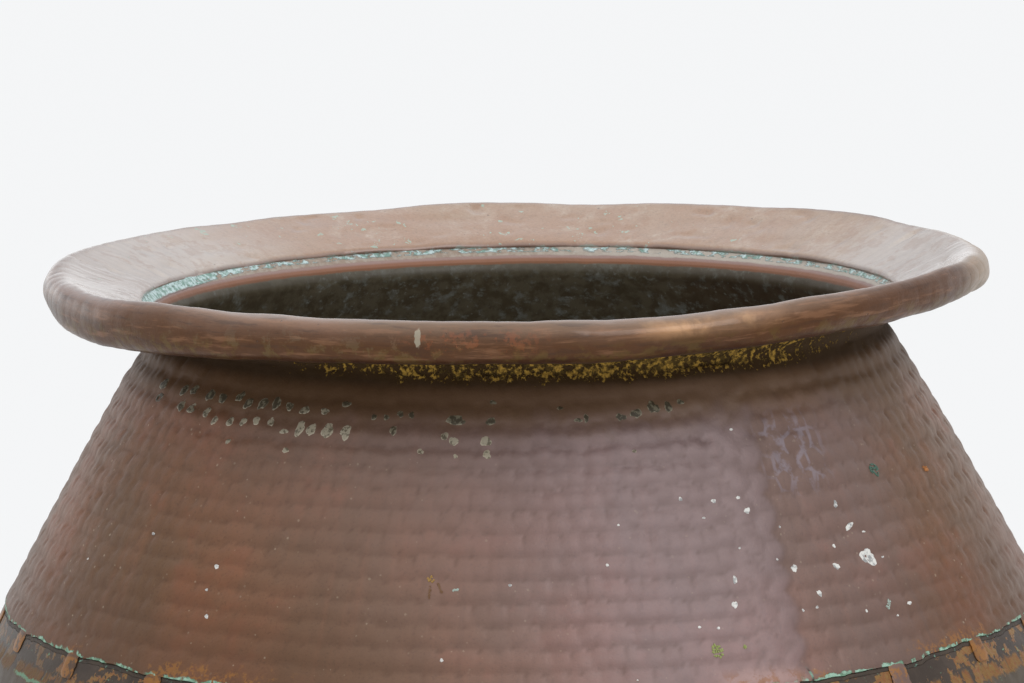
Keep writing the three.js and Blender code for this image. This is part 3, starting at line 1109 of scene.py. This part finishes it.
def add_finger(body, middle, length, jags):
    """One cramp outside: it leaves the sheet above the root and thins to its tip over the bowl's edge."""
    across = np.linspace(-1, 1, finger_points)
    crown = -0.2 - 0.45 * across**4
    fronts, backs = [], []
    for i, down in enumerate(np.linspace(finger_start, length, finger_rows)):
        share = max(down, 0) / finger_length
        rounded = 1.1 * max(i + 1 - finger_rows + tip_rows, 0)
        left, right = finger_width(share) / 2 + 0.5 * jags[:, i] - rounded
        azimuth = middle + np.where(across < 0, across * left, across * right) / seam_root[0]
        if down < 0:
            out, under = neck_out(-down) - 0.12, 0.2
        else:
            out, under = lip_outer + (lip_inner + finger_tip_thickness - lip_outer) * share, lip_inner
        push, _ = shoulder_relief(azimuth, -down)
        side = seam_offset(azimuth, -down)
        for grid, levels, lift in ((fronts, out + crown, push), (backs, under + 0 * crown, 0 * push)):
            rows = [seam_row(down, level) for level in levels]
            radius = np.array([row[0] for row in rows]) + lift * rows[0][2]
            height = np.array([row[1] for row in rows]) + lift * rows[0][3]
            points = placed(azimuth, radius, height)
            grid.append(body.add(points, azimuth, -down, finger=1.0, seam_side=side))
    body.block((np.array(fronts)[::-1], np.array(backs)[::-1]))


def add_tab(body, middle):
    """One cramp inside, between two fingers."""
    pitch_width = TAU * seam_root[0] / finger_count
    fronts, backs = [], []
    for down in tab_downs:
        share = max(down, 0) / finger_length
        half_width = (pitch_width - finger_width(share)) / 2 - shear_gap
        azimuth = middle + np.linspace(-half_width, half_width, tab_points) / seam_root[0]
        thick = cramp_thickness + (finger_tip_thickness - cramp_thickness) * share
        for grid, out in ((fronts, -lip_inner), (backs, -lip_inner - thick)):
            radius, height = seam_row(down, out)[:2]
            points = placed(azimuth, radius, height)
            grid.append(body.add(points, azimuth, -down, inside=far_inside, finger=1.0))
    body.block((np.array(fronts)[::-1], np.array(backs)[::-1]))


# Deposits, each at its pixel of the photograph: x, y, width, height and lean in degrees. A growth has a
# shade too

grey_minerals = [
    (167, 384, 7, 12, 20), (187, 390, 7, 11, 20), (197, 390, 6, 10, 20), (213, 395, 7, 13, 20),
    (225, 398, 7, 11, 20), (242, 396, 6, 12, 20), (250, 403, 7, 12, 20), (265, 403, 8, 14, 20),
    (278, 403, 8, 13, 15), (291, 406, 8, 8, 0), (306, 410, 10, 8, 0), (326, 411, 9, 6, 0),
    (163, 397, 6, 10, 20), (185, 405, 7, 12, 20), (195, 408, 7, 12, 20), (210, 412, 6, 10, 20),
    (218, 420, 6, 9, 20), (233, 421, 7, 9, 20), (246, 421, 6, 9, 20), (259, 420, 7, 8, 20),
    (273, 421, 7, 8, 20), (286, 431, 8, 5, 0), (302, 428, 9, 15, 8), (313, 429, 8, 14, 12),
    (329, 430, 10, 17, 22), (347, 432, 10, 14, 8), (347, 404, 8, 7, 0), (375, 417, 6, 5, 0),
    (387, 417, 6, 5, 0), (401, 414, 7, 6, 0), (412, 415, 6, 6, 0), (394, 430, 7, 10, 5),
    (421, 451, 6, 6, 0), (456, 420, 20, 9, 0), (491, 421, 10, 7, 0), (493, 403, 8, 5, 0),
    (445, 436, 7, 8, 0), (454, 441, 9, 9, 0), (486, 441, 10, 10, 0), (487, 454, 8, 9, 0),
    (456, 456, 4, 5, 0), (288, 450, 7, 5, 0), (231, 441, 4, 6, 10), (578, 420, 8, 4, 0),
    (586, 418, 5, 8, 0), (621, 417, 10, 8, 0), (636, 413, 11, 9, 0), (653, 407, 12, 12, 0),
    (668, 407, 8, 10, 0), (680, 402, 8, 5, 0), (634, 451, 5, 3, 0), (560, 408, 6, 4, 0),
]
lime_flecks = [
    (868, 557, 17, 23, 10), (849, 526, 15, 6, -20), (794, 568, 7, 11, 15), (734, 580, 6, 10, 15),
    (734, 605, 7, 10, 20), (713, 501, 6, 6, 0), (737, 498, 5, 5, 0), (746, 511, 8, 8, 0),
    (703, 518, 4, 3, 0), (680, 499, 5, 5, 0), (730, 430, 5, 3, 0), (835, 504, 5, 9, 0),
    (864, 531, 4, 3, 0), (833, 546, 4, 5, 0), (836, 566, 7, 9, -30), (882, 557, 3, 3, 0),
    (819, 593, 5, 9, -25), (803, 610, 3, 4, 0), (817, 607, 5, 3, 0), (866, 611, 3, 4, 0),
    (898, 615, 3, 3, 0), (909, 603, 5, 5, 0), (699, 627, 5, 3, 0), (718, 628, 4, 4, 0),
    (776, 560, 3, 3, 0), (779, 527, 3, 3, 0), (739, 548, 3, 3, 0), (607, 565, 4, 4, 0),
    (618, 525, 3, 3, 0), (510, 585, 4, 4, 0), (442, 660, 4, 5, 0), (637, 681, 3, 3, 0),
    (219, 566, 6, 6, 0), (156, 533, 4, 4, 0), (91, 558, 3, 3, 0), (209, 589, 3, 4, 0),
    (209, 616, 5, 6, 0),
]
growths = [
    (717, 650, 11, 15, 0, 0.0), (744, 647, 3, 3, 0, 0.0), (874, 470, 9, 14, 20, 0.5),
    (456, 590, 6, 2, -10, 1.0), (926, 468, 3, 6, 30, 0.75), (888, 604, 4, 11, 25, 1.0),
    (431, 579, 7, 8, 0, 0.25), (430, 592, 1, 12, 0, 0.35), (441, 590, 1, 16, -25, 0.35),
]


# The kinds as the finish knows them, with the thickness of a crust and its size against its pixels
mineral_kind = 1.0
lime_kind = 2.0
growth_kind = 3.0
crusts = ((mineral_kind, 0.16, 1.06, grey_minerals), (lime_kind, 0.3, 0.8, lime_flecks))
growth_thickness = 0.4
# Grey crusts are pale below this pixel row, which is lower right of the second column named
pale_row = 396
pale_row_drop = 26
pale_columns = (340, 380)


def add_deposits(body):
    """Crusts on the shoulder: low domes with ragged outlines, and growths as clusters of tiny ones."""
    rng = np.random.default_rng(51)
    for kind, thick, size, spots in crusts:
        for x, y, wide, tall, lean in spots:
            azimuth, run, halves = crust_at(x, y, wide * size, tall * size)
            pale_from = pale_row + pale_row_drop * smooth(*pale_columns, x)
            shade = 0.7 * smooth(pale_from, pale_from + pale_row_drop, y)
            add_dome(body, rng, azimuth, run, halves, lean, thick, kind, shade)
    for x, y, wide, tall, lean, shade in growths:
        azimuth, run, halves = crust_at(x, y, wide, tall)
        for _ in range(int(4 + 0.6 * max(wide, tall) + halves[0] * halves[1] * 1.6)):
            part, turn = math.sqrt(rng.uniform(0, 1)), rng.uniform(0, TAU)
            across, up = leaned(halves[0] * part * math.cos(turn), halves[1] * part * math.sin(turn), lean)
            spot = azimuth + across / np.interp(run, *shoulder_radii)
            tiny = rng.uniform(0.5, 0.95)
            add_dome(body, rng, spot, run + up, (tiny, tiny), 0, growth_thickness, growth_kind, shade, 8)


def leaned(across, up, lean):
    """A place on the sheet, turned clockwise about its origin by the lean in degrees."""
    cos, sin = math.cos(math.radians(lean)), math.sin(math.radians(lean))
    return across * cos + up * sin, -across * sin + up * cos


def crust_at(x, y, wide, tall):
    """Azimuth, run and half sizes of a crust that covers so many pixels.

    The shoulder's front is nearer than its axis, and its slope is seen a little shortened.
    """
    azimuth, run = seen_at((x, y), shoulder_skin)
    pixel = camera_distance / focal_pixels * 0.93
    return azimuth, run, (wide / 2 * pixel / max(math.cos(azimuth), 0.25), tall / 2 * pixel / 0.94)


def add_dome(body, rng, azimuth, run, halves, lean, thick, kind, shade, count=18):
    """One crust with a ragged outline: rings that shrink to its top, and a foot inside the sheet."""
    turn = TAU * np.arange(count) / count
    ragged = np.ones(count)
    for waves, height in ((2, 0.12), (3, 0.1), (5, 0.06)):
        ragged += height * np.sin(waves * turn + rng.uniform(0, TAU))
    ragged += rng.uniform(-0.1, 0.1, count)
    radius = np.interp(run, *shoulder_radii)
    levels = ((1.0, -0.25), (0.93, 0.5 * thick), (0.7, thick), (0.35, 0.9 * thick), (0.0, 0.8 * thick))
    if kind == growth_kind:
        levels = levels[::2]
    rings = []
    for share, lift in levels:
        spread, reach = (turn, share * ragged) if share else (turn[:1], 0)
        across, up = leaned(halves[0] * reach * np.cos(spread), halves[1] * reach * np.sin(spread), lean)
        paler_rim = 0.45 * (kind == mineral_kind and share > 0.9)
        place = (azimuth + across / radius, run + up)
        rings.append(dome_ring(body, rng, *place, lift, thick, kind, shade + paler_rim))
    for low, high in zip(rings, rings[1:]):
        body.bridge(low, high)
    foot = dome_ring(body, rng, np.array([azimuth]), np.array([run]), -0.3, 0, kind, shade)
    body.bridge(foot, rings[0])


def dome_ring(body, rng, azimuth, run, lift, thick, kind, shade):
    push, _ = shoulder_relief(azimuth, run)
    push = push + lift + rng.uniform(-0.2, 0.2, len(azimuth)) * thick * (lift > 0)
    slope = math.radians(shoulder_end[2])
    radius = np.interp(run, *shoulder_radii) + push * math.sin(slope)
    height = np.interp(run, *shoulder_heights) - push * math.cos(slope)
    points = placed(azimuth, radius, height)
    return body.add(points, azimuth, run, deposit=kind, shade=shade, seam_side=off_seam)


def build_bowl():
    """The bowl's run is counted from the seam's root, so that it is below zero."""
    body = Body()
    half = bowl_thickness / 2
    edge_half = bowl_edge_thickness / 2
    offset = -(bowl_run + scarf_reach)

    def moved(row):
        return (*row[:4], row[4] + offset)

    def relief(azimuth, run):
        return bowl_relief(azimuth, run - offset)

    def worn(azimuth, run):
        return 0.12 * shallow(azimuth, 2 * run), 0.0

    rings = [body.ring(1, (0, 0, 0, -1, -bowl_run))]
    for row in bowl_skin[1:]:
        on_base = row[4] <= base_radius
        count, marks = (plain_points, None) if on_base else (sheet_points, relief)
        rings.append(body.ring(count, moved(row), marks))
    edge_downs = np.linspace(finger_length + clearance, bowl_edge_top, 9)
    rings += [body.ring(sheet_points, seam_row(down, edge_half), worn) for down in edge_downs]
    for down in edge_downs[::-2]:
        rings.append(body.ring(plain_points, seam_row(down, -edge_half, -1), inside=1.0))
    back = side_rows(bowl_route.stops, -half, -1)[::-1]
    for row in back[:-1:3]:
        if row[0] > smallest_ring:
            rings.append(body.ring(plain_points, moved(row), inside=1.0))
    rings.append(body.ring(1, (0, bowl_thickness, 0, 1, offset), inside=1.0))
    body.revolve(rings, closed=False)
    piece = body.finish("bowl", bowl_finish())
    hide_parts("bowl_shell")


def beaten(stops, depth, reach):
    """The stops with the rim's inner edge beaten in by a depth that ends at a reach from it."""
    return [shifted(stop, 0, -depth * max(0, 1 - stop[3] / reach) ** 2) for stop in stops]


def build_rim():
    """Its inner edge is beaten down until it almost meets the ledge, and thinned."""
    body = Body()
    half = sheet_thickness / 2
    settled = beaten(rim_route.stops, 0.9, 4)
    thinned = beaten(settled, 1.1, 3.5)
    rings = [body.ring(rim_points, row, rim_relief) for row in side_rows(thinned, -half, -1)]
    quiet = side_rows(settled, half)[::-1]
    rings += [body.ring(plain_rim_points, row) for row in quiet[::2] + quiet[-1:]]
    body.revolve(rings[::-1])
    piece = body.finish("rim", rim_finish())
    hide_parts("rim_flange")


def lumpy(seed, around, cell, height):
    """A relief of clean lumps."""
    lumps = Lumps(seed, around, cell)
    return lambda azimuth, run: (height * lumps(azimuth, run), 0.0)


def build_hoop():
    body = Body()
    rust = lumpy(61, 300, 6, 0.12)
    outermost = shifted((curl_centre[0], curl_centre[1], 90, 0), 0, -hoop_diameter / 2)
    round_bar = Route(*outermost[:3]).arc(hoop_diameter / 2, 360, 1.8)
    body.revolve([body.ring(bar_points, row, rust) for row in side_rows(round_bar.stops[1:], 0)])
    piece = body.finish("hoop", iron_finish())
    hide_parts("rim_hoop")


def build_seam_braze():
    """Brass bead in the root: it swells a little in the windows between the fingers."""
    body = Body()
    lumps = Lumps(62, 260, 9)
    half = bowl_edge_thickness / 2
    middle = (clearance + braze_end) / 2
    half_width = seam_braze_width / 2 + bead_overfill
    rings = []
    for turn in np.radians(np.arange(0, 360, 30)):
        out = math.copysign(half * abs(math.sin(turn)) ** 0.25, math.sin(turn))
        outward = max(math.sin(turn), 0)

        def swell(azimuth, run):
            window = smooth(0.22, 0.34, np.abs((azimuth * finger_count / TAU + 0.5) % 1 - 0.5))
            return outward * (0.2 * window + 0.25 * lumps(azimuth, run)), 0.0

        row = seam_row(middle - half_width * math.cos(turn), out)
        rings.append(body.ring(bead_points, row, swell))
    body.revolve(rings[::-1])
    piece = body.finish("seam_bead", brass_finish())
    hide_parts("seam_braze")
    return piece.data.materials[0]


def build_neck_braze(material):
    """Brass fillet under the flange, at the end of the lap. Its corners lie along and across the lap."""
    body = Body()
    half = sheet_thickness / 2
    lumps = lumpy(63, 200, 9, 0.35)
    corners = [
        (0, -half), (0.4 * neck_fillet_size, -0.2 * half), (neck_fillet_size, half), (1, half), (0, half),
    ]
    slope = math.radians(flange_slope)
    rings = []
    for i, (along, across) in enumerate(corners):
        radius, height = shifted(lap_end, clearance + along, across)[:2]
        row = (radius, height, math.sin(slope), -math.cos(slope), 3 * i)
        rings.append(body.ring(bar_points, row, lumps if across < 0 else None))
    body.revolve(rings)
    piece = body.finish("neck_bead", material)
    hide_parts("neck_braze")


build_bowl()
build_shoulder()
build_rim()
build_hoop()
build_neck_braze(build_seam_braze())

# Floor: grey for the light that it throws back, and nearly white for the camera and in reflections

floor_reach = 60
floor_mesh = bpy.data.meshes.new("floor")
floor_corners = [(x * floor_reach, y * floor_reach, 0) for x, y in ((-1, -1), (1, -1), (1, 1), (-1, 1))]
floor_mesh.from_pydata(floor_corners, [], [(0, 1, 2, 3)])
floor = bpy.data.objects.new("floor", floor_mesh)
bpy.context.scene.collection.objects.link(floor)
ground = Finish(bpy.data.materials.new("pale_floor"))
grey = ground.node("ShaderNodeBsdfDiffuse", None, (tone(205, 205, 205),))
white = ground.node("ShaderNodeEmission", None, (tone(250, 251, 252), 1.0))
by_camera, by_glossy, by_transmission = (ground.node("ShaderNodeLightPath", output=i) for i in (0, 3, 6))
seen = by_camera + by_glossy + by_transmission
shown = ground.node("ShaderNodeMixShader", None, (seen.step(0, 1, 0, 0.86), grey, white))
ground.node("ShaderNodeOutputMaterial", None, {"Surface": shown})
floor_mesh.materials.append(ground.owner)

# World: a pale room that is darkest at eye level, with one large lamp in front on the right

world = bpy.data.worlds.new("studio")
bpy.context.scene.world = world
sky = Finish(world)
direction = sky.node("ShaderNodeTexCoord", output=0)
upward = sky.node("ShaderNodeSeparateXYZ", None, (direction,), output=2)
light = sky.ramp(upward, [
    (0.0, tone(246, 246, 247)), (0.1, tone(230, 230, 232)), (0.24, tone(184, 184, 188)),
    (0.45, tone(212, 214, 220)), (0.75, tone(252, 253, 255)), (1.0, tone(255, 255, 255)),
])
backdrop = sky.node("ShaderNodeBackground", None, (light, 1.2))
sky.node("ShaderNodeOutputWorld", None, {"Surface": backdrop})

key_place = Vector((1.9, -2.3, 2.9))
key_aim = Vector((0, 0, 0.4))
key = bpy.data.lights.new("key", "AREA")
key.shape = "RECTANGLE"
key.size = 2.6
key.size_y = 2.2
key.energy = 26
key.color = (0.9, 0.93, 1.0)
key_lamp = bpy.data.objects.new("key", key)
bpy.context.scene.collection.objects.link(key_lamp)
key_lamp.location = key_place
key_lamp.rotation_euler = (key_aim - key_place).to_track_quat("-Z", "Y").to_euler()

bpy.context.scene.view_settings.view_transform = "Standard"
